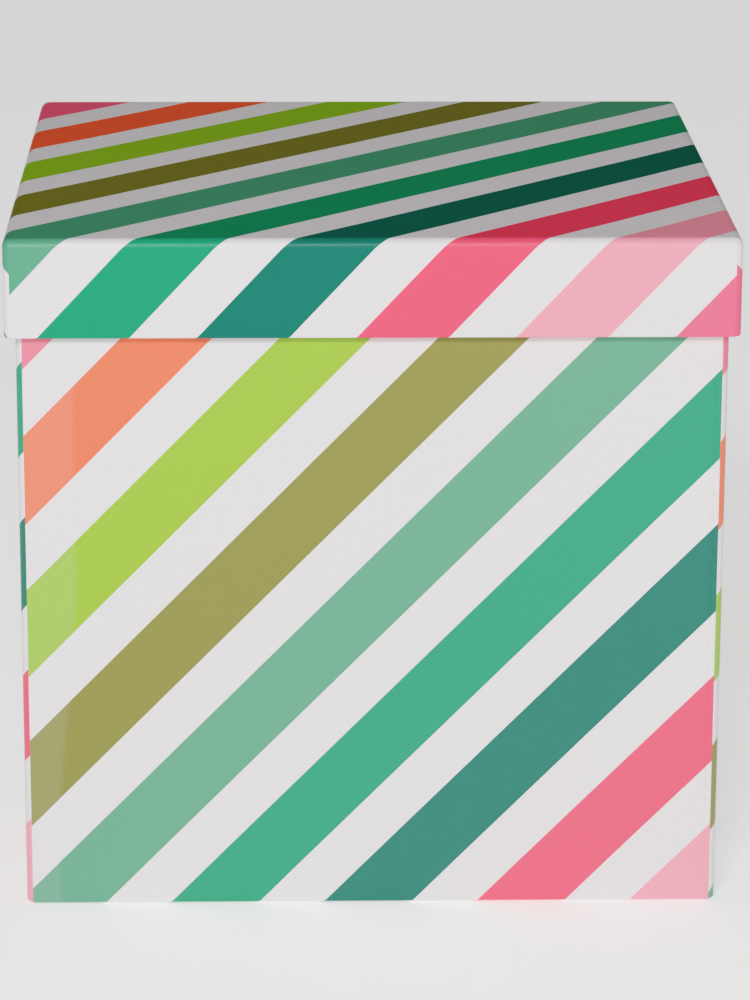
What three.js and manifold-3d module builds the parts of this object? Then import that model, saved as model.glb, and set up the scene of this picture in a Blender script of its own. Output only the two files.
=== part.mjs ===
// Square set-up hat box: a greyboard tray and a lift-off lid, both covered with printed paper.
// Millimetres, +Z up. The origin is the middle of the footprint, on the surface that the box stands on.
// The front is -Y and the right-hand side is +X.
import * as THREE from "three";
import { mergeVertices } from "three/addons/utils/BufferGeometryUtils.js";
import Module from "manifold-3d";

const wasm = await Module();
wasm.setup();

// Driving dimensions
const HEIGHT = 246; // overall, lid on
const BASE_BOARDS = 247.6; // width of the tray over its wall boards, in x and in y
const LID_BOARDS = 254.8; // width of the lid over its rim boards, in x and in y
const RIM_DEPTH = 35; // outside depth of the lid's rim

// Materials
const BOARD = 2; // greyboard
const PAPER = 0.25; // printed and lining paper
const BOTTOM_PAPER = 0.4; // heavier sheet that the box stands on
const STAY = 0.15; // gummed kraft tape
const GLUE = 0.05; // glue line between two layers

// Corners and folds
const CORNER_RADIUS = 3; // vertical corners of the boards
const FOLD_RADIUS = 2; // edge round the top board of the lid
const STAY_LEG = 12.5; // how far the tape runs from a corner on each wall
const TAB = 13; // how far a side wrap's tab runs from a corner under the next wrap
const PAPER_SETBACK = 1.8; // a front or back paper's side edge, from the side board's outer face

// Turned edges
const TURN_IN = 20; // base wrap, down inside the walls
const TURN_UNDER = 15; // base wrap, under the floor
const LID_LEDGE = 8; // lid wrap, from the inside of the rim onto the underside of the top
const LINER_DROP = 8; // the wall liner's top edge, below the rim
const LID_LINER_MARGIN = LID_LEDGE / 3; // the lid liner's edge, in from the turned-in paper of the rim
const SHEET_MARGIN = 5; // the bottom sheet's edge, in from the boards' outer faces

// Layers of paper, as offsets from the outer face of a board
const STAY_SKIN = GLUE + STAY; // tape
const SIDE_SKIN = STAY_SKIN + GLUE + PAPER; // side wraps, over the tape
const FRONT_SKIN = SIDE_SKIN + GLUE + PAPER; // front and back wraps, over the side wraps' tabs
const PLAIN_SKIN = GLUE + PAPER; // one paper directly on the board

// Heights of the layers, from the table up
const UNDER_BOTTOM = BOTTOM_PAPER + GLUE;
const UNDER_TOP = UNDER_BOTTOM + PAPER; // top face of the turned-under paper
const WALL_FOOT = UNDER_TOP + GLUE; // lower edge of the boards
const FLOOR_TOP = WALL_FOOT + BOARD;
const LID_BOARD_TOP = HEIGHT - PLAIN_SKIN;
const LID_BOARD_BOTTOM = LID_BOARD_TOP - BOARD;
const LEDGE_BOTTOM = LID_BOARD_BOTTOM - PLAIN_SKIN;
const CEILING = LEDGE_BOTTOM - PLAIN_SKIN; // underside of the lid's liner, where the tray's rim meets it
const BASE_TOP = CEILING - GLUE;
const WALL_TOP = BASE_TOP - PLAIN_SKIN; // upper edge of the tray's boards
const RIM_BOTTOM = HEIGHT - RIM_DEPTH;

const FAR = 400; // beyond the box on every side, for cutting blocks
const CLEAR = 1; // how far a cutting block passes the faces that it cuts
const ARC_POINTS = 3;
const FOLD_POINTS = 4;
const MERGE_DISTANCE = 1e-4;
const SIDES = ["front", "back", "left", "right"];

const printedPaper = new THREE.MeshStandardMaterial({ color: 0xe58fa4, roughness: 0.3, metalness: 0 });
const whitePaper = new THREE.MeshStandardMaterial({ color: 0xf2f0ec, roughness: 0.7, metalness: 0 });
const greyboard = new THREE.MeshStandardMaterial({ color: 0x8f887c, roughness: 0.9, metalness: 0 });
const kraftTape = new THREE.MeshStandardMaterial({ color: 0xb88a58, roughness: 0.8, metalness: 0 });

// A three.js geometry as a solid that can be joined and cut.
function solid(geometry) {
  geometry.deleteAttribute("normal");
  geometry.deleteAttribute("uv");
  const merged = mergeVertices(geometry, MERGE_DISTANCE);
  const shell = new wasm.Mesh({
    numProp: 3,
    vertProperties: merged.attributes.position.array,
    triVerts: merged.index.array,
  });
  return new wasm.Manifold(shell);
}

function sheet(name, shape, material) {
  const { vertProperties, triVerts } = shape.getMesh();
  const geometry = new THREE.BufferGeometry();
  geometry.setAttribute("position", new THREE.BufferAttribute(vertProperties, 3));
  geometry.setIndex(new THREE.BufferAttribute(triVerts, 1));
  geometry.computeVertexNormals();
  const mesh = new THREE.Mesh(geometry, material);
  mesh.name = name;
  return mesh;
}

function box(x, y, z) {
  const geometry = new THREE.BoxGeometry(x[1] - x[0], y[1] - y[0], z[1] - z[0]);
  geometry.translate((x[0] + x[1]) / 2, (y[0] + y[1]) / 2, (z[0] + z[1]) / 2);
  return solid(geometry);
}

// A square-cornered block round the origin's axis.
function square(half, bottom, top) {
  return box([-half, half], [-half, half], [bottom, top]);
}

function roundedOutline(halfX, halfY, radius) {
  const outline = new THREE.Shape();
  const corners = [[1, 1], [-1, 1], [-1, -1], [1, -1]];
  corners.forEach(([signX, signY], turn) => {
    const start = (turn * Math.PI) / 2;
    outline.absarc(signX * (halfX - radius), signY * (halfY - radius), radius, start, start + Math.PI / 2);
  });
  outline.closePath();
  return outline;
}

// A block with the walls' outline, grown outward by a skin.
function walls(boards, skin, bottom, top) {
  const half = boards / 2 + skin;
  const geometry = new THREE.ExtrudeGeometry(roundedOutline(half, half, CORNER_RADIUS + skin), {
    depth: top - bottom,
    bevelEnabled: false,
    curveSegments: ARC_POINTS,
  });
  geometry.translate(0, 0, bottom);
  return solid(geometry);
}

// The same block for the lid, with a rounded fold all round its top face.
function foldedBlock(skinX, skinY, bottom, top) {
  const fold = FOLD_RADIUS + top - LID_BOARD_TOP;
  const halfX = LID_BOARDS / 2 + skinX;
  const halfY = LID_BOARDS / 2 + skinY;
  const radius = CORNER_RADIUS + skinX;
  const geometry = new THREE.ExtrudeGeometry(roundedOutline(halfX - fold, halfY - fold, radius - fold), {
    depth: FAR - fold,
    bevelThickness: fold,
    bevelSize: fold,
    bevelSegments: FOLD_POINTS,
    curveSegments: ARC_POINTS,
  });
  geometry.translate(0, 0, top - FAR);
  return solid(geometry).intersect(square(FAR, bottom, top));
}

// The quarter of space that looks out of one side, cut at the mitres.
function quarter(side) {
  const outward = { front: [0, -1], back: [0, 1], left: [-1, 0], right: [1, 0] }[side];
  const across = [-outward[1], outward[0]];
  const corner = (out, along) => outward.map((value, axis) => out * value + along * across[axis]);
  const wedge = new THREE.Shape();
  wedge.moveTo(...corner(GLUE, 0));
  wedge.lineTo(...corner(FAR + GLUE, FAR));
  wedge.lineTo(...corner(FAR + GLUE, -FAR));
  wedge.closePath();
  const geometry = new THREE.ExtrudeGeometry(wedge, { depth: 2 * FAR, bevelEnabled: false });
  geometry.translate(0, 0, -FAR);
  return solid(geometry);
}

// Everything beyond a plane that lies across one side's outward direction.
function beyond(side, distance) {
  const ranges = {
    front: [[-FAR, FAR], [-FAR, -distance]],
    back: [[-FAR, FAR], [distance, FAR]],
    left: [[-FAR, -distance], [-FAR, FAR]],
    right: [[distance, FAR], [-FAR, FAR]],
  };
  return box(...ranges[side], [-FAR, FAR]);
}

// A wall or rim board. Front and back boards run the full width, and the side boards stand between them.
function wallBoard(side, boards, bottom, top) {
  const inner = boards / 2 - BOARD;
  const board = walls(boards, 0, bottom, top).intersect(beyond(side, inner));
  if (side === "front" || side === "back") return board;
  const between = inner - GLUE;
  return board.intersect(box([-FAR, FAR], [-between, between], [-FAR, FAR]));
}

// Tape bent round one vertical corner; slack widens it on every side to clear a pocket for it.
function cornerStay(sideX, sideY, boards, bottom, top, slack = 0) {
  const start = boards / 2 - STAY_LEG - slack;
  return walls(boards, STAY_SKIN + slack, bottom - slack, top + slack)
    .subtract(walls(boards, GLUE - slack, bottom - CLEAR, top + CLEAR))
    .intersect(beyond(sideX, start))
    .intersect(beyond(sideY, start));
}

function allStays(boards, bottom, top, slack) {
  const stays = ["left", "right"].flatMap((sideX) =>
    ["front", "back"].map((sideY) => cornerStay(sideX, sideY, boards, bottom, top, slack)),
  );
  return stays.reduce((joined, stay) => joined.add(stay));
}

// The printed paper of all four base walls as one skin: outside, over the rim, down inside and under the floor.
// It follows the boards and tape that it covers, so their pockets are cut out of it.
function basePaper(skin) {
  const inner = BASE_BOARDS / 2 - BOARD;
  const boards = walls(BASE_BOARDS, GLUE, UNDER_TOP, BASE_TOP - PAPER).subtract(square(inner - GLUE, 0, FAR));
  return walls(BASE_BOARDS, skin, UNDER_BOTTOM, BASE_TOP)
    .subtract(boards)
    .subtract(allStays(BASE_BOARDS, WALL_FOOT, WALL_TOP, GLUE))
    .subtract(square(inner - GLUE, UNDER_TOP, BASE_TOP - TURN_IN))
    .subtract(square(inner - PLAIN_SKIN, UNDER_TOP, FAR))
    .subtract(square(BASE_BOARDS / 2 - TURN_UNDER, 0, FLOOR_TOP));
}

// The stretches round the two corners next to a side, between the paper's turned edges.
function tabSpace(side, slack = 0) {
  return square(FAR, WALL_FOOT - slack, WALL_TOP + slack)
    .intersect(beyond(side, BASE_BOARDS / 2 - TAB - slack))
    .subtract(square(BASE_BOARDS / 2 - BOARD, 0, FAR));
}

// A side wrap covers its wall and runs round both corners as tabs.
function baseSideWrap(side) {
  return basePaper(SIDE_SKIN).intersect(quarter(side).add(tabSpace(side)));
}

// A front or back wrap lies over the side wraps' tabs and stops on the corner rounds.
function baseFaceWrap(side) {
  const edge = BASE_BOARDS / 2 - PAPER_SETBACK;
  const tabs = tabSpace("left", GLUE).add(tabSpace("right", GLUE));
  return basePaper(FRONT_SKIN)
    .subtract(walls(BASE_BOARDS, SIDE_SKIN + GLUE, 0, FAR).intersect(tabs))
    .intersect(quarter(side))
    .intersect(box([-edge, edge], [-FAR, FAR], [-FAR, FAR]));
}

function bottomBoard() {
  return square(BASE_BOARDS / 2 - BOARD - GLUE, WALL_FOOT, FLOOR_TOP);
}

// The bottom sheet laps over the turned-under paper and fills the window that it leaves.
function bottomSheet() {
  const lap = square(BASE_BOARDS / 2 - SHEET_MARGIN, 0, UNDER_BOTTOM - GLUE);
  const middle = square(BASE_BOARDS / 2 - TURN_UNDER - GLUE, 0, UNDER_TOP);
  return lap.add(middle);
}

// The wall liner laps over the turned-in paper and lies on the boards below it.
function wallLiner() {
  const inner = BASE_BOARDS / 2 - BOARD;
  const face = inner - PLAIN_SKIN - GLUE - PAPER;
  const lap = square(inner - PLAIN_SKIN - GLUE, FLOOR_TOP + GLUE, BASE_TOP - LINER_DROP);
  const below = square(inner - GLUE, FLOOR_TOP + GLUE, BASE_TOP - TURN_IN - GLUE);
  return lap.add(below).subtract(square(face, 0, HEIGHT));
}

function floorLiner() {
  const half = BASE_BOARDS / 2 - BOARD - PLAIN_SKIN - PAPER - 2 * GLUE;
  return square(half, FLOOR_TOP + GLUE, FLOOR_TOP + GLUE + PAPER);
}

function lidTopBoard(grow = 0) {
  return foldedBlock(grow, grow, LID_BOARD_BOTTOM - grow, LID_BOARD_TOP + grow);
}

// The lid's outline. The front and back flaps stand a layer proud of the side flaps and their tabs.
function lidOutline() {
  const edge = LID_BOARDS / 2 - PAPER_SETBACK;
  const corners = box([-FAR, FAR], [-FAR, FAR], [-FAR, FAR])
    .subtract(box([-edge, edge], [-FAR, FAR], [-FAR, FAR]))
    .subtract(foldedBlock(SIDE_SKIN, SIDE_SKIN, 0, HEIGHT));
  return foldedBlock(SIDE_SKIN, FRONT_SKIN, RIM_BOTTOM, HEIGHT).subtract(corners);
}

// One sheet of paper round the lid: top, four flaps, tabs under the front and back flaps, and turned edges.
function lidWrap() {
  const half = LID_BOARDS / 2;
  const inside = half - BOARD - PLAIN_SKIN;
  const rimBoards = walls(LID_BOARDS, GLUE, RIM_BOTTOM + PAPER, LID_BOARD_BOTTOM)
    .subtract(square(half - BOARD - GLUE, 0, HEIGHT));
  return lidOutline()
    .subtract(lidTopBoard(GLUE))
    .subtract(rimBoards)
    .subtract(allStays(LID_BOARDS, RIM_BOTTOM + PLAIN_SKIN, LID_BOARD_BOTTOM - GLUE, GLUE))
    .subtract(square(inside, 0, LEDGE_BOTTOM))
    .subtract(square(inside - LID_LEDGE, 0, LID_BOARD_BOTTOM));
}

// The lid's liner laps over the turned-in paper and fills the window that it leaves.
function lidLiner() {
  const inside = LID_BOARDS / 2 - BOARD - PLAIN_SKIN;
  const lap = square(inside - LID_LINER_MARGIN, CEILING, LEDGE_BOTTOM - GLUE);
  const middle = square(inside - LID_LEDGE - GLUE, CEILING, LID_BOARD_BOTTOM - GLUE);
  return lap.add(middle);
}

function buildBase() {
  const base = new THREE.Group();
  base.add(sheet("base_bottom_board", bottomBoard(), greyboard));
  for (const side of SIDES) {
    base.add(sheet(`base_${side}_board`, wallBoard(side, BASE_BOARDS, WALL_FOOT, WALL_TOP), greyboard));
  }
  for (const sideY of ["front", "back"]) {
    base.add(sheet(`base_wrap_${sideY}`, baseFaceWrap(sideY), printedPaper));
    for (const sideX of ["left", "right"]) {
      const stay = cornerStay(sideX, sideY, BASE_BOARDS, WALL_FOOT, WALL_TOP);
      base.add(sheet(`base_corner_stay_${sideY}_${sideX}`, stay, kraftTape));
    }
  }
  for (const sideX of ["left", "right"]) {
    base.add(sheet(`base_wrap_${sideX}`, baseSideWrap(sideX), printedPaper));
  }
  base.add(sheet("base_bottom_sheet", bottomSheet(), whitePaper));
  base.add(sheet("base_wall_liner", wallLiner(), whitePaper));
  base.add(sheet("base_floor_liner", floorLiner(), whitePaper));
  return base;
}

function buildLid() {
  const lid = new THREE.Group();
  const rimFoot = RIM_BOTTOM + PLAIN_SKIN;
  const rimTop = LID_BOARD_BOTTOM - GLUE;
  lid.add(sheet("lid_top_board", lidTopBoard(), greyboard));
  for (const side of SIDES) {
    lid.add(sheet(`lid_${side}_board`, wallBoard(side, LID_BOARDS, rimFoot, rimTop), greyboard));
  }
  for (const sideY of ["front", "back"]) {
    for (const sideX of ["left", "right"]) {
      const stay = cornerStay(sideX, sideY, LID_BOARDS, rimFoot, rimTop);
      lid.add(sheet(`lid_corner_stay_${sideY}_${sideX}`, stay, kraftTape));
    }
  }
  lid.add(sheet("lid_wrap", lidWrap(), printedPaper));
  lid.add(sheet("lid_top_liner", lidLiner(), whitePaper));
  return lid;
}

const hatBox = new THREE.Group();
hatBox.add(buildBase(), buildLid());

export default hatBox;
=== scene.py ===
# Looks of the square set-up hat box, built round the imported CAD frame.
# Metres, +Z up, the front is -Y and the right-hand side is +X.
# Papers are thin sheets folded round the boards; boards and corner tapes are the CAD nodes themselves.
import math

import bmesh
import bpy
from mathutils import Matrix, Vector


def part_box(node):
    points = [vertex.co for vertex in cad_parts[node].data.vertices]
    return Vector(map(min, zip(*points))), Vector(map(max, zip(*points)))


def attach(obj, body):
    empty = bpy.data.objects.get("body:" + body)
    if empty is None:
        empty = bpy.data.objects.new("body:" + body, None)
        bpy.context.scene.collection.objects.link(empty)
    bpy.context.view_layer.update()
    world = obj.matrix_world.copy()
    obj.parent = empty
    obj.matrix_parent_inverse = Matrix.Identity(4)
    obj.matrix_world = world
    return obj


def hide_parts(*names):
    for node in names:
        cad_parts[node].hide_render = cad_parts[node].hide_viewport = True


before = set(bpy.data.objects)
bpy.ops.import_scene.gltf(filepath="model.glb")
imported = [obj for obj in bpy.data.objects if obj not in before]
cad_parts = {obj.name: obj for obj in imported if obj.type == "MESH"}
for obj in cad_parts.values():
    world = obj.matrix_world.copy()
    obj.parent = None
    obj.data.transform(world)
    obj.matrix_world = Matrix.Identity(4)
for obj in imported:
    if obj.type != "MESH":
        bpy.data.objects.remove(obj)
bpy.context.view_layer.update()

MM = 0.001
HAIR = 1e-7  # rounding room where two lengths are compared

# Faces of the box, from the frame
SIDE_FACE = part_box("base_wrap_right")[1].x  # the base's left and right walls
FRONT_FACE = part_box("base_wrap_back")[1].y  # the base's front and back walls
BASE_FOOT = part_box("base_wrap_front")[0].z
BASE_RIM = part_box("base_wrap_front")[1].z
FACE_PAPER_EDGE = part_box("base_wrap_front")[1].x  # side edge of the front and back papers
BOARD_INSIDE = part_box("base_back_board")[0].y
FLOOR_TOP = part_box("base_bottom_board")[1].z
LID_SIDE_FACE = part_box("lid_wrap")[1].x
LID_FRONT_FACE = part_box("lid_wrap")[1].y
LID_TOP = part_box("lid_wrap")[1].z
LID_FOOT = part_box("lid_wrap")[0].z
LID_BOARD_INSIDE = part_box("lid_back_board")[0].y
LID_BOARD_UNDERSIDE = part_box("lid_top_board")[0].z
LINER_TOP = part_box("base_wall_liner")[1].z
LINER_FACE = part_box("base_wall_liner")[1].x
FLOOR_LINER_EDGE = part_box("base_floor_liner")[1].x
LID_LINER_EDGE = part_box("lid_top_liner")[1].x
LID_LINER_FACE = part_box("lid_top_liner")[0].z
BOTTOM_SHEET_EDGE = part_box("base_bottom_sheet")[1].x

# Papers
PAPER = 0.22 * MM
SKIN = 0.3 * MM  # a paper and its glue
LAYER_GAP = 0.05 * MM  # between the edges of two papers that meet
TURN_IN = 20 * MM  # base papers, down inside the walls
TURN_UNDER = 15 * MM  # base papers, under the floor
LID_LEDGE = 8 * MM  # lid paper, onto the underside of the top
TAB = 13 * MM  # side papers, from a corner onto the next wall
TAB_TAPER = 8 * MM  # height over which a base tab widens from the folds at the foot and the rim
LID_TAB_TAPER = 5 * MM
LID_FACE_PAPER_EDGE = LID_SIDE_FACE - 2.3 * MM  # side edge of the lid's front and back flaps
OFF_FACE = -0.01 * MM  # a point of a profile further in than this has left the wall's face
LEAST_TURN = 1e-6  # smallest radius of a paper's path round a corner
SQUARE_MARGIN = 0.001 * MM  # so that the point where the fold inside a rim starts counts as past it

# Folds and corners
CORNER = 3.5 * MM  # upright corners of the base, over the side papers
RIM_FOLD = 0.75 * MM
LID_FOLD = 2.8 * MM
LID_RIM_FOLD = 0.75 * MM
TURNED_FOLD = 0.6 * MM
FLAP_ON_FOLD = 0.97  # share of the corner's arc that a side flap covers on the lid's top fold
ARC_STEPS = 6

# Spacing of the points
WALL_STEP = 4 * MM  # between the columns of points along a wall
PROFILE_STEP = 5 * MM  # between the points up a base wall
FINE_REACH = 17 * MM  # beside an upright corner the columns draw closer together
FINE_STEPS = 28
FINE_POWER = 1.5
FLAT_STEPS = 48  # squares along each side of a flat lining
WELD = 2e-6  # points of a sheet nearer to each other than this are one
SLIVER = 1e-12  # square metres; smaller faces are dropped

# Relief of the papers
LONG_WAVE, CROSS_WAVE, SHORT_WAVE = 0.045 * MM, 0.02 * MM, 0.008 * MM  # waves that glued paper keeps
BOW = 0.12 * MM  # how far the middle of a base wall is drawn in
SETTLE = 20 * MM  # from the foot and the rim, where a base wall's relief is in full
WIDEN_FROM, WIDEN_TO = 35 * MM, 115 * MM  # heights between which the double layer at a corner widens
DOUBLE_WIDTH, DOUBLE_GROWTH = 8.5 * MM, 7.5 * MM  # its width below them, and what it gains
SHARP_CREASE = 50  # degrees between two faces from which their edge is shaded as sharp

# Relief of a wall's paper beside an upright corner, measured in from where the corner's round starts
CREASE = {"inset": 0.3 * MM, "width": 0.4 * MM, "height": -0.16 * MM}
SWELL = {"inset": 2.4 * MM, "width": 1.1 * MM, "height": 0.1 * MM}

# Lining of the walls
LINING_FACE = LINER_FACE - 0.31 * MM  # its inner face, clear of the turned-in papers
LINING_CORNER = 1 * MM
LINING_ARC_STEPS = 4
LINING_ROWS = 60
LINING_LAST_STEP = 1.05 * WALL_STEP  # a shorter stretch before a corner is taken in one step
LINING_FOOT_GAP = 0.4 * MM  # between the lining's foot and the floor board
LINING_FINE_ROWS, LINING_FINE_STEP = 9, 0.25 * MM  # rows just below the turned-in papers
LINING_SINK = 0.22 * MM  # how far it falls back below the turned-in papers
LINING_LAP = 12 * MM
LAP_OFF_MIDDLE = 20 * MM  # the lap starts this far before the middle of the right-hand wall
LAP_RISE = 0.26 * MM  # how far the outer end of the lap stands in

# Print: diagonal bands on the flat sheet, in the order that they repeat
INKS = [
    ("hot_pink", (250, 106, 133)),
    ("orange", (254, 108, 71)),
    ("lime", (146, 190, 44)),
    ("olive", (131, 129, 52)),
    ("sea_green", (90, 158, 125)),
    ("emerald", (27, 149, 108)),
    ("teal", (7, 113, 97)),
    ("coral", (254, 84, 109)),
    ("light_pink", (254, 153, 170)),
]
PAPER_WHITE = (232, 226, 228)
BASE_BANDS = {"start": -356.1 * MM, "period": 56.36 * MM, "width": 32.46 * MM, "lean": 1.021}
LID_BANDS = {"start": -257.4 * MM, "period": 59.19 * MM, "width": 34.15 * MM, "lean": 1.0685}

# Films of gloss laminate. The two shares of white over the ink are painted reflection: an even veil all over
# the sheet, and a strip beside a wall's left-hand corner.
BASE_FILM = {"painted_veil": 0.036, "reflection_strip": 0.055, "gloss": 0.55, "gloss_blur": 0.09}
LID_FILM = {"painted_veil": 0.008, "reflection_strip": 0.0, "gloss": 0.15, "gloss_blur": 0.4}
STRIP_REFLECTION_FOOT_EDGE, STRIP_REFLECTION_EDGE = -112 * MM, -104.5 * MM  # the painted reflection strip's edge across a wall, low and high
STRIP_REFLECTION_BLUR = 1 * MM

# Studio
FLOOR_DROP = 0.1 * MM  # the table top, under the box's foot
FLOOR_GLOW = 0.51
DOME_LIGHT = 0.41
HORIZON_LIGHT = 0.0
DOME_START, DOME_FULL = 0.34, 0.95  # upward shares of a direction between which the dome brightens
FLOOR_RADIUS, FLOOR_SEGMENTS = 14.0, 96
LIGHT_AIM = (0.0, 0.0, 0.1)
KEY_LIGHT = {"place": (-0.4, -2.75, 2.0), "width": 1.1, "height": 0.6, "power": 65.0}
FILL_LIGHT = {"place": (0.0, -3.2, 1.0), "width": 1.8, "height": 1.2, "power": 17.0}
TONE = [(0.0, 0.0), (0.03, 0.0145), (0.064, 0.042), (0.16, 0.165), (0.4, 0.41), (0.7, 0.62), (1.0, 0.76)]
ALL_CHANNELS = 3  # place of the combined curve in Blender's curve mapping

# Camera
CAMERA_PLACE = (-32.9 * MM, -1513.5 * MM, 556.5 * MM)
CAMERA_YAW = 0.0243
CAMERA_PITCH = 0.2836
CAMERA_ROLL = 0.0034
FOCAL_IN_HEIGHTS = 4.119  # focal length as a multiple of the picture's height
SENSOR = 36.0
NEAREST, FARTHEST = 0.05, 60.0

OUTWARD = {"front": (0, -1), "right": (1, 0), "back": (0, 1), "left": (-1, 0)}


# ---------------------------------------------------------------- folded sheets


def smoothstep(low, high, value):
    t = min(1.0, max(0.0, (value - low) / (high - low)))
    return t * t * (3 - 2 * t)


def path_points(corners, radii, spacing, start):
    """Points (out, up, run) along a folded profile whose corners are rounded.

    run is the distance along the sheet as if each fold were sharp, counted from start.
    """
    points = []
    run = start
    tangent_in = 0.0
    for index in range(len(corners) - 1):
        here, there = Vector(corners[index]), Vector(corners[index + 1])
        length = (there - here).length
        direction = (there - here) / length
        tangent_out = radii[index] if index < len(radii) else 0.0
        first, last = tangent_in, length - tangent_out
        steps = max(1, math.ceil((last - first) / spacing))
        for step in range(steps + 1):
            along = first + (last - first) * step / steps
            spot = here + direction * along
            points.append((spot.x, spot.y, run + along))
        if tangent_out:
            after = (Vector(corners[index + 2]) - there).normalized()
            centre = there - direction * tangent_out + after * tangent_out
            for step in range(1, ARC_STEPS):
                angle = math.pi / 2 * step / ARC_STEPS
                spot = centre - after * tangent_out * math.cos(angle)
                spot += direction * tangent_out * math.sin(angle)
                shift = tangent_out * (2 * step / ARC_STEPS - 1)
                points.append((spot.x, spot.y, run + length + shift))
        run += length
        tangent_in = tangent_out
    cleaned = [points[0]]
    for point in points[1:]:
        if (Vector(point[:2]) - Vector(cleaned[-1][:2])).length > HAIR:
            cleaned.append(point)
    return cleaned


def flat_columns(half_straight):
    """Distances from a wall's middle to the start of its corner, closer together beside the corner."""
    coarse = half_straight - FINE_REACH
    steps = math.ceil(coarse / WALL_STEP)
    columns = [coarse * step / steps for step in range(steps)]
    for step in range(FINE_STEPS + 1):
        left = (1 - step / FINE_STEPS) ** FINE_POWER
        columns.append(coarse + FINE_REACH * (1 - left))
    return columns


def mirrored(right):
    """The same distances to the left of the middle as to the right of it."""
    return [-value for value in reversed(right[1:])] + right


def columns_round(half_straight, radius, reach):
    """Distances along a wall from its middle: the flat, the rounded corners and the tabs up to reach."""
    right = flat_columns(half_straight)
    arc = radius * math.pi / 2
    arc_steps = 2 * ARC_STEPS
    right += [half_straight + arc * step / arc_steps for step in range(1, arc_steps + 1)]
    while right[-1] + WALL_STEP < reach:
        right.append(right[-1] + WALL_STEP)
    return mirrored([value for value in right if value < reach] + [reach])


def ripple(along, up, seed):
    """Height of the faint waves that glued paper keeps; their lengths are in millimetres."""
    a, b = along / MM, up / MM
    long_wave = math.sin(a / 19 + 1.7 * seed) * math.sin(b / 23 + 0.9 * seed)
    cross_wave = math.sin((a + 0.7 * b) / 11 + 2.3 * seed)
    short_wave = math.sin((a - 1.3 * b) / 5.3 + seed) * math.sin(b / 7.1 - 0.6 * seed)
    return LONG_WAVE * long_wave + CROSS_WAVE * cross_wave + SHORT_WAVE * short_wave


def corner_relief(beyond):
    """Height of the faint crease and swell beside a corner.

    beyond is measured from the start of the corner's round.
    """
    height = 0.0
    for shape in (CREASE, SWELL):
        height += shape["height"] * math.exp(-(((beyond + shape["inset"]) / shape["width"]) ** 2))
    return height


def add_grid(mesh, layer, rows, places):
    """Adds quads through rows of points; the UV map holds each point's place on the flat sheet."""
    verts = [[mesh.verts.new(point) for point in row] for row in rows]
    for j in range(len(rows) - 1):
        for i in range(len(rows[0]) - 1):
            cell = [(j, i), (j, i + 1), (j + 1, i + 1), (j + 1, i)]
            face = mesh.faces.new([verts[a][b] for a, b in cell])
            face.smooth = True
            for loop, (a, b) in zip(face.loops, cell):
                loop[layer].uv = places[a][b]


def mesh_from_grid(rows, places, reverse=False):
    mesh = bmesh.new()
    add_grid(mesh, mesh.loops.layers.uv.new("sheet"), rows, places)
    if reverse:
        bmesh.ops.reverse_faces(mesh, faces=mesh.faces)
    return mesh


def fold_grid(side, profile, columns, face, radius, limit, lift, square_from=-math.inf):
    """Rows of points and of sheet places for one wall's paper.

    The profile's out is measured from the wall's face, and the plan follows the wall and its rounded corners.
    From square_from inwards the paper runs straight into a square inside corner.
    """
    outward = Vector(OUTWARD[side])
    across = Vector((-outward.y, outward.x))
    centre = face - radius
    arc = radius * math.pi / 2
    rows, places = [], []
    for out, up, run in profile:
        row, row_places = [], []
        edge = limit(out, up)
        for column in columns:
            u = min(edge, max(-edge, column))
            size, sign = abs(u), math.copysign(1.0, u)
            raised = out + lift(u, up, out)
            turn = max(radius + raised, 0.0)
            if size <= centre or out <= square_from:
                along, away = u, face + raised
            elif size <= centre + arc:
                angle = (size - centre) / radius
                along = sign * (centre + turn * math.sin(angle))
                away = face - radius + turn * math.cos(angle)
            else:
                along = sign * (centre + turn)
                away = face - radius - (size - centre - arc)
            spot = outward * away + across * along
            row.append((spot.x, spot.y, up))
            row_places.append((u, run))
        rows.append(row)
        places.append(row_places)
    return rows, places


def clean_mesh(mesh):
    """Welds the points that a paper's limit has drawn together, and drops the slivers between them."""
    bmesh.ops.remove_doubles(mesh, verts=mesh.verts, dist=WELD)
    slivers = [face for face in mesh.faces if face.calc_area() < SLIVER]
    bmesh.ops.delete(mesh, geom=slivers, context="FACES")


def paper_object(name, mesh, body, node, outer, inner):
    """Turns a one-sided sheet into paper with a thickness, with one material outside and one within."""
    clean_mesh(mesh)
    data = bpy.data.meshes.new(name)
    mesh.to_mesh(data)
    mesh.free()
    piece = bpy.data.objects.new(name, data)
    bpy.context.scene.collection.objects.link(piece)
    piece.data.materials.append(outer)
    piece.data.materials.append(inner)
    shell = piece.modifiers.new("thickness", "SOLIDIFY")
    shell.thickness = PAPER
    shell.offset = -1
    shell.material_offset = 1
    shell.material_offset_rim = 1
    evaluated = piece.evaluated_get(bpy.context.evaluated_depsgraph_get())
    solid = bpy.data.meshes.new_from_object(evaluated)
    piece.modifiers.clear()
    piece.data = solid
    solid.name = name
    solid.shade_smooth()
    solid.set_sharp_from_angle(angle=math.radians(SHARP_CREASE))
    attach(piece, body)
    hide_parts(node)


# ---------------------------------------------------------------- base


def base_profile(face):
    """From the edge under the floor, up the wall, over the rim and down inside."""
    inside = BOARD_INSIDE - SKIN - face
    corners = [
        (-TURN_UNDER, BASE_FOOT),
        (0, BASE_FOOT),
        (0, BASE_RIM),
        (inside, BASE_RIM),
        (inside, BASE_RIM - TURN_IN),
    ]
    return path_points(corners, [RIM_FOLD] * 3, PROFILE_STEP, BASE_FOOT - TURN_UNDER)


def square_start(face):
    """Where the fold at the inside of the rim starts, out from a wall's face."""
    return BOARD_INSIDE - SKIN - face + RIM_FOLD + SQUARE_MARGIN


def wall_share(up):
    """How much of a base wall's relief there is at a height: none at the foot and the rim, all between."""
    return smoothstep(BASE_FOOT, SETTLE, up) * smoothstep(BASE_RIM, BASE_RIM - SETTLE, up)


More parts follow.
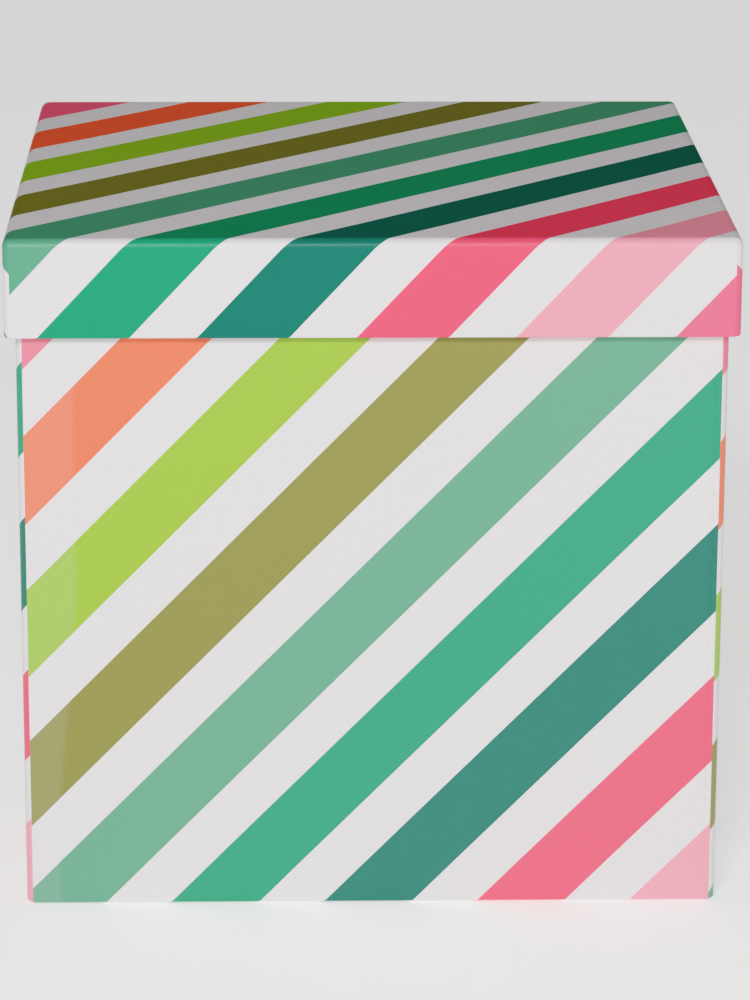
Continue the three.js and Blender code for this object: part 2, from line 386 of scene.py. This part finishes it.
def wall_bow(u, centre):
    """How far a base wall stands in at a place across it, most in its middle."""
    return -BOW * (1 - (u / centre) ** 2) if abs(u) < centre else 0.0


def face_paper_limit(face, radius, out):
    """How far a front or back paper reaches to each side, measured round the corner."""
    centre = face - radius
    edge = min(FACE_PAPER_EDGE, face + out - LAYER_GAP)
    if edge <= centre or out <= square_start(face):
        return edge
    turn = max(radius + out, LEAST_TURN)
    return centre + radius * math.asin(min(1.0, (edge - centre) / turn))


def double_layer(up):
    """How far the glued double layer reaches from a corner; it narrows towards the foot."""
    return DOUBLE_WIDTH + DOUBLE_GROWTH * smoothstep(WIDEN_FROM, WIDEN_TO, up)


def base_face_paper(side, seed, printed, back):
    """A front or back paper: it sinks beside the tabs under it and swells over them."""
    radius = CORNER + FRONT_FACE - SIDE_FACE
    centre = FRONT_FACE - radius
    columns = columns_round(centre, radius, face_paper_limit(FRONT_FACE, radius, 0))
    sink = 0.16 * MM
    half_step = 0.6 * MM

    def limit(out, up):
        return face_paper_limit(FRONT_FACE, radius, out)

    def lift(u, up, out):
        if out < -RIM_FOLD:
            return 0.0
        tab_edge = centre - double_layer(up)
        over_tab = smoothstep(tab_edge - half_step, tab_edge + half_step, abs(u))
        sunk = -sink * (1 - over_tab)
        waves = ripple(u, up, seed) + corner_relief(abs(u) - centre)
        return (sunk + wall_bow(u, centre) + waves) * wall_share(up)

    profile = base_profile(FRONT_FACE)
    square = square_start(FRONT_FACE)
    rows, places = fold_grid(side, profile, columns, FRONT_FACE, radius, limit, lift, square)
    mesh = mesh_from_grid(rows, places)
    paper_object(f"base_paper_{side}", mesh, "base", f"base_wrap_{side}", printed, back)


def side_paper_limit(out, up):
    """A side paper runs round both corners as tabs, and its turned edges stop against the face papers."""
    centre = SIDE_FACE - CORNER
    if out <= square_start(SIDE_FACE):
        return SIDE_FACE + out
    cover = min(FACE_PAPER_EDGE, FRONT_FACE + out - LAYER_GAP) + LAYER_GAP
    turn = CORNER + out
    if turn <= 0 or cover - centre >= turn:
        turned = min(centre, SIDE_FACE + out)
    else:
        turned = centre + CORNER * math.acos(max(0.0, (cover - centre) / turn))
    if out < OFF_FACE:
        return turned
    full = centre + CORNER * math.pi / 2 + TAB - CORNER
    foot, rim = BASE_FOOT + RIM_FOLD, BASE_RIM - RIM_FOLD
    open_share = min(smoothstep(foot, foot + TAB_TAPER, up), smoothstep(rim, rim - TAB_TAPER, up))
    return turned + (full - turned) * open_share


def base_side_paper(side, seed, printed, back):
    """A left or right paper, with its tabs: it sinks beside the corner tapes and lies flat on the rounds."""
    centre = SIDE_FACE - CORNER
    reach = centre + CORNER * math.pi / 2 + TAB - CORNER
    columns = columns_round(centre, CORNER, reach)
    sink = 0.1 * MM
    tape_edge, on_tape = centre - 10 * MM, centre - 9 * MM
    waves_start, waves_end = centre - 3 * MM, centre + 1 * MM

    def lift(u, up, out):
        if out < -RIM_FOLD:
            return 0.0
        over_tape = smoothstep(tape_edge, on_tape, abs(u))
        flat = smoothstep(waves_end, waves_start, abs(u))
        waves = (-sink * (1 - over_tape) + ripple(u, up, seed)) * flat
        return (waves + wall_bow(u, centre)) * wall_share(up)

    profile = base_profile(SIDE_FACE)
    square = square_start(SIDE_FACE)
    rows, places = fold_grid(side, profile, columns, SIDE_FACE, CORNER, side_paper_limit, lift, square)
    mesh = mesh_from_grid(rows, places)
    paper_object(f"base_paper_{side}", mesh, "base", f"base_wrap_{side}", printed, back)


def lining_stations(straight, arc, start, end):
    """Distances round the inside of the walls at which the lining has a column of points."""
    stations = []
    position = start
    while position < end:
        stations.append(position)
        within = position % (straight + arc)
        if within < straight - LINING_LAST_STEP:
            position += WALL_STEP
        elif within < straight - HAIR:
            position += straight - within
        else:
            position += arc / LINING_ARC_STEPS
    return stations + [end]


def lining_heights(turned_edge):
    """Heights of the lining's rows, closer together just below the edge of the turned-in papers."""
    foot = FLOOR_TOP + LINING_FOOT_GAP
    even = [foot + (LINER_TOP - foot) * k / LINING_ROWS for k in range(LINING_ROWS + 1)]
    fine = [turned_edge - LINING_FINE_STEP * k for k in range(1, LINING_FINE_ROWS + 1)]
    return sorted(even + fine)


def lining_plan(position, straight, arc):
    """The place of a distance round the lining on its plan, a square with small round corners."""
    wall = int(position // (straight + arc)) % 4
    within = position % (straight + arc)
    if within <= straight:
        local = Vector((LINING_FACE, within - straight / 2))
    else:
        angle = (within - straight) / LINING_CORNER
        corner = Vector((LINING_FACE - LINING_CORNER, LINING_FACE - LINING_CORNER))
        local = corner + Vector((math.cos(angle), math.sin(angle))) * LINING_CORNER
    return Matrix.Rotation(wall * math.pi / 2, 2) @ local


def base_wall_lining(paper):
    """One band of paper round the inside, over the turned-in edges and down to the floor, its ends lapped."""
    straight = 2 * (LINING_FACE - LINING_CORNER)
    arc = LINING_CORNER * math.pi / 2
    start = straight / 2 - LAP_OFF_MIDDLE
    lap_start = start + 4 * (straight + arc)
    stations = lining_stations(straight, arc, start, lap_start + LINING_LAP)
    turned_edge = BASE_RIM - TURN_IN
    sink_start, sink_end = turned_edge - 0.3 * MM, turned_edge - 2.2 * MM
    rows, places = [], []
    for up in lining_heights(turned_edge):
        row = []
        sunk = LINING_SINK * smoothstep(sink_start, sink_end, up)
        for position in stations:
            lapped = smoothstep(lap_start - 3 * MM, lap_start, position)
            raised = sunk + ripple(position, up, 5.0) * 0.5 - LAP_RISE * lapped
            spot = lining_plan(position, straight, arc) * (1 + raised / LINING_FACE)
            row.append((spot.x, spot.y, up))
        rows.append(row)
        places.append([(position, up) for position in stations])
    mesh = mesh_from_grid(rows, places, reverse=True)
    paper_object("base_lining_walls", mesh, "base", "base_wall_liner", paper, paper)


def rounded_corner(x, y, half, radius):
    """Draws a point of a square in to the square's round corner, if it lies beyond that."""
    inner = half - radius
    if abs(x) <= inner or abs(y) <= inner:
        return x, y
    offset = Vector((abs(x) - inner, abs(y) - inner))
    if offset.length > radius:
        offset = offset.normalized() * radius
    return math.copysign(inner + offset.x, x), math.copysign(inner + offset.y, y)


def flat_sheet(half, height, radius, relief, face_down):
    """The mesh of a square sheet with small round corners, lying flat."""
    ticks = [half * (2 * step / FLAT_STEPS - 1) for step in range(FLAT_STEPS + 1)]
    places = [[rounded_corner(x, y, half, radius) for x in ticks] for y in ticks]
    rows = [[(x, y, height + relief(x, y)) for x, y in row] for row in places]
    return mesh_from_grid(rows, places, reverse=face_down)


def base_floor_lining(paper):
    """The sheet on the floor, which turns up a little towards its edges."""

    def relief(x, y):
        edge = max(abs(x), abs(y)) / FLOOR_LINER_EDGE
        return 0.12 * MM + 0.25 * MM * edge**12 + 2 * ripple(x, y, 3.0)

    half = FLOOR_LINER_EDGE - 0.35 * MM
    height = FLOOR_TOP + PAPER + LAYER_GAP
    mesh = flat_sheet(half, height, radius=1.5 * MM, relief=relief, face_down=False)
    paper_object("base_lining_floor", mesh, "base", "base_floor_liner", paper, paper)


def base_underside(paper):
    """The sheet under the floor, which laps over the turned-under papers and dips into the window in them."""
    window = SIDE_FACE - TURN_UNDER - 0.5 * MM

    def relief(x, y):
        reach = max(abs(x), abs(y))
        return 0.12 * MM * smoothstep(window + 1 * MM, window - 1 * MM, reach)

    mesh = flat_sheet(BOTTOM_SHEET_EDGE, 0, radius=2 * MM, relief=relief, face_down=True)
    paper_object("base_underside", mesh, "base", "base_bottom_sheet", paper, paper)


# ---------------------------------------------------------------- lid


def lid_profile(face):
    """From the fold on top, down the flap, round the rim and up inside to the ledge at the top."""
    fold = LID_FOLD + face - LID_SIDE_FACE
    inside = LID_BOARD_INSIDE - SKIN - face
    ledge = LID_BOARD_UNDERSIDE - SKIN
    corners = [
        (-fold, LID_TOP),
        (0, LID_TOP),
        (0, LID_FOOT),
        (inside, LID_FOOT),
        (inside, ledge),
        (inside - LID_LEDGE, ledge),
    ]
    radii = [fold, LID_RIM_FOLD, LID_RIM_FOLD, TURNED_FOLD]
    return path_points(corners, radii, WALL_STEP, face - fold)


def lid_top_grid(half, columns):
    """The top of the lid, which dips a little inside its edges and carries the paper's waves."""
    border = 25 * MM
    dip = 0.1 * MM
    sag, wave_share = 0.02 * MM, 0.6

    def height(x, y):
        inner = smoothstep(half, half - border, abs(x)) * smoothstep(half, half - border, abs(y))
        waves = (wave_share * ripple(x, y, 7.0) - sag) * inner
        return LID_TOP - dip + waves + dip * (1 - inner)

    rows = [[(x, y, height(x, y)) for x in columns] for y in columns]
    places = [[(x, y) for x in columns] for y in columns]
    return rows, places


def lid_flap_limit(is_face, face, radius, flap_edge, reach):
    """A function that says how far one flap's paper reaches to each side, measured round the corner."""
    centre = face - radius
    arc = radius * math.pi / 2
    inside = LID_BOARD_INSIDE - SKIN - face
    rim, top = LID_FOOT + LID_RIM_FOLD, LID_TOP - radius
    covered = centre + radius * math.acos((LID_FACE_PAPER_EDGE - centre) / radius)

    def limit(out, up):
        if out <= inside + HAIR and up > rim:
            return min(centre, face + out)
        if is_face:
            return flap_edge if out > OFF_FACE else max(centre, min(flap_edge, face + out))
        if up > top - HAIR:
            return centre + arc * FLAP_ON_FOLD
        if out < OFF_FACE:
            turn = max(radius + out, LEAST_TURN)
            share = min(1.0, max(0.0, (LID_FACE_PAPER_EDGE - centre) / turn))
            return centre + radius * math.acos(share)
        share = min(smoothstep(rim, rim + LID_TAB_TAPER, up), smoothstep(top, top - LID_TAB_TAPER, up))
        return covered + (reach - covered) * share

    return limit


def lid_flap_lift(is_face, centre, top, seed):
    """The relief of one flap: it sinks beside the layers at the corners, and carries the paper's waves."""
    sink = 0.14 * MM if is_face else 0.08 * MM
    layer_edge, on_layer = centre - 10.5 * MM, centre - 9 * MM
    waves_start, waves_end = centre - 3 * MM, centre + 0.8 * MM
    foot_end, top_start = LID_FOOT + 6 * MM, LID_TOP - 12 * MM
    wave_share, crease_share = 0.8, 0.7

    def lift(u, up, out):
        if out < OFF_FACE:
            return 0.0
        wall = smoothstep(LID_FOOT, foot_end, up) * smoothstep(top, top_start, up)
        sunk = -sink * (1 - smoothstep(layer_edge, on_layer, abs(u)))
        flat = 1.0 if is_face else smoothstep(waves_end, waves_start, abs(u))
        waves = wave_share * ripple(u, up, seed) + crease_share * corner_relief(abs(u) - centre)
        return (sunk + waves) * wall * flat

    return lift


def lid_flap_grid(side, seed, top_columns):
    """One flap, from the fold on top to the ledge inside; its columns on the flat are those of the top."""
    is_face = side in ("front", "back")
    face = LID_FRONT_FACE if is_face else LID_SIDE_FACE
    radius = LID_FOLD + face - LID_SIDE_FACE
    centre = face - radius
    flap_edge = centre + radius * math.asin((LID_FACE_PAPER_EDGE - centre) / radius)
    tab_reach = centre + radius * math.pi / 2 + TAB - radius
    reach = flap_edge if is_face else tab_reach
    beyond = [value for value in columns_round(centre, radius, reach) if value > centre + HAIR]
    columns = [-value for value in reversed(beyond)] + top_columns + beyond
    limit = lid_flap_limit(is_face, face, radius, flap_edge, reach)
    lift = lid_flap_lift(is_face, centre, LID_TOP - radius, seed)
    rows, run_places = fold_grid(side, lid_profile(face), columns, face, radius, limit, lift)
    outward = Vector(OUTWARD[side])
    across = Vector((-outward.y, outward.x))
    places = []
    for row in run_places:
        spots = [outward * run + across * u for u, run in row]
        places.append([(spot.x, spot.y) for spot in spots])
    return rows, places


def lid_paper(printed, back):
    """One cross-shaped sheet: the top, four flaps, and tabs from the side flaps round the corners."""
    half = LID_SIDE_FACE - LID_FOLD
    columns = mirrored(flat_columns(half))
    mesh = bmesh.new()
    layer = mesh.loops.layers.uv.new("sheet")
    rows, places = lid_top_grid(half, columns)
    add_grid(mesh, layer, rows, places)
    for seed, side in enumerate(OUTWARD):
        rows, places = lid_flap_grid(side, 1.3 + seed, columns)
        rows = [list(reversed(row)) for row in rows]
        places = [list(reversed(row)) for row in places]
        add_grid(mesh, layer, rows, places)
    paper_object("lid_paper", mesh, "lid", "lid_wrap", printed, back)


def lid_lining(paper):
    """The sheet inside the lid: it laps over the turned ledge and rises into the window inside it."""
    window = LID_BOARD_INSIDE - SKIN - LID_LEDGE - 0.5 * MM

    def relief(x, y):
        reach = max(abs(x), abs(y))
        rise = 0.2 * MM * smoothstep(window + 1 * MM, window - 1 * MM, reach)
        return rise + 0.5 * ripple(x, y, 2.0)

    height = LID_LINER_FACE + LAYER_GAP
    mesh = flat_sheet(LID_LINER_EDGE, height, radius=2 * MM, relief=relief, face_down=True)
    paper_object("lid_lining", mesh, "lid", "lid_top_liner", paper, paper)


# ---------------------------------------------------------------- materials


def linear(rgb):
    """An 8-bit sRGB colour as linear light."""
    shares = [value / 255 for value in rgb]
    return [s / 12.92 if s <= 0.04045 else ((s + 0.055) / 1.055) ** 2.4 for s in shares] + [1.0]


class Nodes:
    """A material's node tree, with one short call for each node."""

    def __init__(self, name):
        self.material = bpy.data.materials.new(name)
        self.material.use_nodes = True
        self.tree = self.material.node_tree
        self.tree.nodes.clear()
        self.shader = self.tree.nodes.new("ShaderNodeBsdfPrincipled")
        output = self.tree.nodes.new("ShaderNodeOutputMaterial")
        self.tree.links.new(self.shader.outputs["BSDF"], output.inputs["Surface"])

    def put(self, socket, value):
        if isinstance(value, bpy.types.NodeSocket):
            self.tree.links.new(value, socket)
        else:
            socket.default_value = value

    def set(self, name, value):
        """Sets one of the shader's own sockets, or links it."""
        self.put(self.shader.inputs[name], value)

    def math(self, operation, first, second=0.0):
        node = self.tree.nodes.new("ShaderNodeMath")
        node.operation = operation
        self.put(node.inputs[0], first)
        self.put(node.inputs[1], second)
        return node.outputs[0]

    def mix(self, factor, first, second):
        """A mix of two colours, whose sockets are the factor, the colours A and B, and the colour result."""
        node = self.tree.nodes.new("ShaderNodeMix")
        node.data_type = "RGBA"
        self.put(node.inputs[0], factor)
        self.put(node.inputs[6], first)
        self.put(node.inputs[7], second)
        return node.outputs[2]

    def uv(self):
        node = self.tree.nodes.new("ShaderNodeUVMap")
        node.uv_map = "sheet"
        return node.outputs[0]

    def place(self):
        return self.tree.nodes.new("ShaderNodeTexCoord").outputs["Object"]

    def noise(self, vector, scale, detail=2.0, roughness=0.5, distortion=0.0):
        node = self.tree.nodes.new("ShaderNodeTexNoise")
        self.put(node.inputs["Vector"], vector)
        node.inputs["Scale"].default_value = scale
        node.inputs["Detail"].default_value = detail
        node.inputs["Roughness"].default_value = roughness
        node.inputs["Distortion"].default_value = distortion
        return node.outputs[0]

    def ramp(self, factor, stops, constant=False):
        node = self.tree.nodes.new("ShaderNodeValToRGB")
        node.color_ramp.interpolation = "CONSTANT" if constant else "LINEAR"
        elements = node.color_ramp.elements
        while len(elements) < len(stops):
            elements.new(1.0)
        for element, (position, colour) in zip(elements, stops):
            element.position = position
            element.color = colour
        self.put(node.inputs[0], factor)
        return node.outputs[0]

    def cloud(self, factor, low, high, start=0.3, end=0.7):
        """A colour between low and high, as the factor runs from start to end."""
        return self.ramp(factor, [(start, linear(low)), (end, linear(high))])

    def remap(self, value, low, high, start=0.0, end=1.0):
        node = self.tree.nodes.new("ShaderNodeMapRange")
        self.put(node.inputs["Value"], value)
        node.inputs["From Min"].default_value = start
        node.inputs["From Max"].default_value = end
        node.inputs["To Min"].default_value = low
        node.inputs["To Max"].default_value = high
        return node.outputs[0]

    def bump(self, height, distance, strength=1.0, normal=None):
        node = self.tree.nodes.new("ShaderNodeBump")
        self.put(node.inputs["Height"], height)
        node.inputs["Distance"].default_value = distance
        node.inputs["Strength"].default_value = strength
        if normal is not None:
            self.put(node.inputs["Normal"], normal)
        return node.outputs[0]


def painted_reflection_strip(n, across, up):
    """Painted reflection: the mask of a strip of white over the ink, over the double layer beside a wall's
    left-hand corner.
    """
    edge = n.remap(up, low=STRIP_REFLECTION_FOOT_EDGE, high=STRIP_REFLECTION_EDGE, start=WIDEN_FROM, end=WIDEN_TO)
    inside = n.math("SUBTRACT", edge, across)
    return n.remap(inside, low=0.0, high=1.0, start=-STRIP_REFLECTION_BLUR, end=STRIP_REFLECTION_BLUR)


def band_inks(n, across, up, bands):
    """Whether a place on the sheet carries a band, and that band's ink."""
    count = float(len(INKS))
    diagonal = n.math("SUBTRACT", n.math("MULTIPLY", across, bands["lean"]), up)
    turns = n.math("DIVIDE", n.math("SUBTRACT", diagonal, bands["start"]), bands["period"])
    inked = n.math("LESS_THAN", n.math("FRACT", turns), bands["width"] / bands["period"])
    index = n.math("FLOORED_MODULO", n.math("FLOOR", turns), count)
    along_ramp = n.math("DIVIDE", n.math("ADD", index, 0.5), count)
    stops = [(k / len(INKS), linear(rgb)) for k, (_, rgb) in enumerate(INKS)]
    return inked, n.ramp(along_ramp, stops, constant=True)


def printed_laminate(name, bands, film):
    """White paper with diagonal bands of ink, under a film of gloss laminate, with white mixed into the ink
    as painted reflection.
    """
    n = Nodes(name)
    sheet = n.uv()
    split = n.tree.nodes.new("ShaderNodeSeparateXYZ")
    n.put(split.inputs[0], sheet)
    across, up = split.outputs[0], split.outputs[1]
    inked, ink = band_inks(n, across, up, bands)
    grain = n.noise(sheet, scale=900.0, detail=3.0, roughness=0.6)
    # painted reflection: an even veil of white over the ink, with a little grain
    veil_with_grain = n.remap(grain, low=0.6 * film["painted_veil"], high=1.4 * film["painted_veil"])
    # painted reflection: a strip of white mixed into the ink beside the walls' left-hand corners
    painted_strip = n.math("MULTIPLY", painted_reflection_strip(n, across, up), film["reflection_strip"])
    veiled_ink = n.mix(n.math("ADD", veil_with_grain, painted_strip), ink, linear(PAPER_WHITE))
    fibre = n.noise(sheet, scale=420.0, detail=4.0, roughness=0.65)
    white = n.cloud(fibre, low=(229, 223, 225), high=(235, 229, 231))
    n.set("Base Color", n.mix(inked, white, veiled_ink))
    scuffs = n.noise(sheet, scale=60.0, detail=6.0, roughness=0.7, distortion=0.4)
    n.set("Roughness", n.remap(scuffs, low=0.34, high=0.5))
    peel = n.bump(n.noise(sheet, scale=650.0), distance=0.02 * MM, strength=0.35)
    waves = n.bump(n.noise(sheet, scale=90.0), distance=0.04 * MM, strength=0.5, normal=peel)
    n.set("Normal", waves)
    n.set("Coat Normal", waves)
    n.set("Specular IOR Level", 0.25)
    n.set("Coat Weight", film["gloss"])
    n.set("Coat Roughness", film["gloss_blur"])
    n.set("Coat IOR", 1.48)
    return n.material


def plain_paper(name, low, high, roughness):
    """Uncoated paper with a faint cloud of fibres."""
    n = Nodes(name)
    sheet = n.uv()
    n.set("Base Color", n.cloud(n.noise(sheet, scale=140.0, detail=5.0, roughness=0.7), low, high))
    patches = n.noise(sheet, scale=300.0, detail=3.0)
    n.set("Roughness", n.remap(patches, low=roughness - 0.06, high=roughness + 0.06))
    fibres = n.noise(sheet, scale=1500.0, detail=4.0, roughness=0.7, distortion=0.6)
    n.set("Normal", n.bump(fibres, distance=0.03 * MM, strength=0.6))
    n.set("Specular IOR Level", 0.35)
    return n.material


def greyboard():
    """Recycled board: grey-brown pulp with dark specks."""
    n = Nodes("greyboard")
    place = n.place()
    pulp = n.noise(place, scale=260.0, detail=6.0, roughness=0.75, distortion=0.5)
    base = n.cloud(pulp, low=(122, 114, 102), high=(158, 150, 137))
    specks = n.math("GREATER_THAN", n.noise(place, scale=1400.0), 0.68)
    n.set("Base Color", n.mix(specks, base, linear((96, 88, 78))))
    n.set("Roughness", n.remap(pulp, low=0.82, high=0.95))
    grain = n.noise(place, scale=900.0, detail=4.0, roughness=0.7)
    n.set("Normal", n.bump(grain, distance=0.05 * MM, strength=0.7))
    n.set("Specular IOR Level", 0.2)
    return n.material


def kraft_tape():
    """Gummed kraft: brown, with long fibres and the faint ribs of the machine."""
    n = Nodes("kraft_tape")
    place = n.place()
    fibres = n.noise(place, scale=480.0, detail=5.0, roughness=0.7, distortion=1.2)
    n.set("Base Color", n.cloud(fibres, low=(164, 120, 74), high=(196, 152, 102)))
    n.set("Roughness", n.remap(fibres, low=0.6, high=0.78))
    wave = n.tree.nodes.new("ShaderNodeTexWave")
    n.put(wave.inputs["Vector"], place)
    wave.bands_direction = "Z"
    wave.inputs["Scale"].default_value = 320.0
    wave.inputs["Distortion"].default_value = 1.0
    ribs = n.bump(wave.outputs["Fac"], distance=0.02 * MM, strength=0.5)
    n.set("Normal", n.bump(fibres, distance=0.03 * MM, strength=0.5, normal=ribs))
    return n.material


def floor_material():
    """A pale, matt studio table; a little light of its own keeps it pale."""
    n = Nodes("studio_floor")
    patches = n.noise(n.place(), scale=3.0, detail=3.0)
    n.set("Base Color", n.cloud(patches, low=(226, 226, 225), high=(230, 230, 229), start=0.2, end=0.8))
    n.set("Roughness", 0.8)
    n.set("Specular IOR Level", 0.1)
    n.set("Emission Color", (1.0, 1.0, 1.0, 1.0))
    n.set("Emission Strength", FLOOR_GLOW)
    return n.material


def repaint(nodes, material):
    for node in nodes:
        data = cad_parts[node].data
        data.materials.clear()
        data.materials.append(material)


# ---------------------------------------------------------------- studio


def add_camera():
    """In front of the box, a little to its left and above it, looking down."""
    data = bpy.data.cameras.new("camera")
    data.sensor_fit = "AUTO"
    data.sensor_width = SENSOR
    data.lens = SENSOR * FOCAL_IN_HEIGHTS
    data.clip_start = NEAREST
    data.clip_end = FARTHEST
    camera = bpy.data.objects.new("camera", data)
    bpy.context.scene.collection.objects.link(camera)
    level_share = math.cos(CAMERA_PITCH)
    heading = Vector((math.sin(CAMERA_YAW), math.cos(CAMERA_YAW), 0.0))
    forward = Vector((heading.x * level_share, heading.y * level_share, -math.sin(CAMERA_PITCH)))
    level = Vector((math.cos(CAMERA_YAW), -math.sin(CAMERA_YAW), 0.0))
    upright = level.cross(forward)
    right = level * math.cos(CAMERA_ROLL) + upright * math.sin(CAMERA_ROLL)
    up = upright * math.cos(CAMERA_ROLL) - level * math.sin(CAMERA_ROLL)
    turn = Matrix((right, up, -forward)).transposed()
    camera.matrix_world = Matrix.Translation(CAMERA_PLACE) @ turn.to_4x4()
    bpy.context.scene.camera = camera


def add_floor():
    """A large level table top, just under the box's foot."""
    mesh = bmesh.new()
    bmesh.ops.create_circle(mesh, cap_ends=True, segments=FLOOR_SEGMENTS, radius=FLOOR_RADIUS)
    data = bpy.data.meshes.new("studio_floor")
    mesh.to_mesh(data)
    mesh.free()
    floor = bpy.data.objects.new("studio_floor", data)
    bpy.context.scene.collection.objects.link(floor)
    floor.location.z = -FLOOR_DROP
    floor.data.materials.append(floor_material())


def add_softbox(name, light):
    """A rectangular studio light that faces the box."""
    data = bpy.data.lights.new(name, "AREA")
    data.shape = "RECTANGLE"
    data.size = light["width"]
    data.size_y = light["height"]
    data.energy = light["power"]
    lamp = bpy.data.objects.new(name, data)
    bpy.context.scene.collection.objects.link(lamp)
    lamp.location = light["place"]
    direction = Vector(LIGHT_AIM) - Vector(light["place"])
    lamp.rotation_euler = direction.to_track_quat("-Z", "Y").to_euler()


def add_world():
    """A pale backdrop to the eye. As light it is an overhead dome that fades out towards the horizon."""
    world = bpy.data.worlds.new("studio")
    bpy.context.scene.world = world
    world.use_nodes = True
    tree = world.node_tree
    tree.nodes.clear()
    output = tree.nodes.new("ShaderNodeOutputWorld")
    mix = tree.nodes.new("ShaderNodeMixShader")
    path = tree.nodes.new("ShaderNodeLightPath")
    dome = tree.nodes.new("ShaderNodeBackground")
    seen = tree.nodes.new("ShaderNodeBackground")
    direction = tree.nodes.new("ShaderNodeTexCoord")
    split = tree.nodes.new("ShaderNodeSeparateXYZ")
    ramp = tree.nodes.new("ShaderNodeValToRGB")
    ramp.color_ramp.interpolation = "EASE"
    low, high = ramp.color_ramp.elements
    low.position, low.color = DOME_START, (HORIZON_LIGHT,) * 3 + (1.0,)
    high.position, high.color = DOME_FULL, (DOME_LIGHT,) * 3 + (1.0,)
    dome.inputs["Strength"].default_value = 1.0
    seen.inputs["Color"].default_value = (1.0, 1.0, 1.0, 1.0)
    tree.links.new(direction.outputs["Generated"], split.inputs[0])
    tree.links.new(split.outputs[2], ramp.inputs[0])
    tree.links.new(ramp.outputs[0], dome.inputs["Color"])
    tree.links.new(path.outputs["Is Camera Ray"], mix.inputs[0])
    tree.links.new(dome.outputs[0], mix.inputs[1])
    tree.links.new(seen.outputs[0], mix.inputs[2])
    tree.links.new(mix.outputs[0], output.inputs["Surface"])


def set_tone():
    """The gentle contrast of a product photograph: deeper darks, lifted middle tones, soft whites."""
    view = bpy.context.scene.view_settings
    view.view_transform = "Standard"
    view.look = "None"
    view.use_curve_mapping = True
    mapping = view.curve_mapping
    mapping.extend = "EXTRAPOLATED"
    curve = mapping.curves[ALL_CHANNELS]
    first, last = curve.points[0], curve.points[-1]
    first.location = TONE[0]
    last.location = TONE[-1]
    for light, shown in TONE[1:-1]:
        curve.points.new(light, shown)
    mapping.update()


def build_studio():
    add_camera()
    add_floor()
    add_world()
    add_softbox("key", KEY_LIGHT)
    add_softbox("fill", FILL_LIGHT)
    set_tone()


# ---------------------------------------------------------------- assembly


def build_base(printed, core, lining):
    for seed, side in enumerate(("front", "back")):
        base_face_paper(side, 0.4 + seed, printed, core)
    for seed, side in enumerate(("left", "right")):
        base_side_paper(side, 2.6 + seed, printed, core)
    base_wall_lining(lining)
    base_floor_lining(lining)
    base_underside(lining)


def build_box():
    base_print = printed_laminate("printed_laminate_base", BASE_BANDS, BASE_FILM)
    lid_print = printed_laminate("printed_laminate_lid", LID_BANDS, LID_FILM)
    core = plain_paper("paper_core", low=(226, 222, 214), high=(238, 235, 228), roughness=0.8)
    lining = plain_paper("lining_paper", low=(232, 230, 225), high=(243, 241, 237), roughness=0.72)
    build_base(base_print, core, lining)
    lid_paper(lid_print, core)
    lid_lining(lining)
    board_nodes = [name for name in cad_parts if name.endswith("_board")]
    tape_nodes = [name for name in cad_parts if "_corner_stay_" in name]
    repaint(board_nodes, greyboard())
    repaint(tape_nodes, kraft_tape())


build_box()
build_studio()
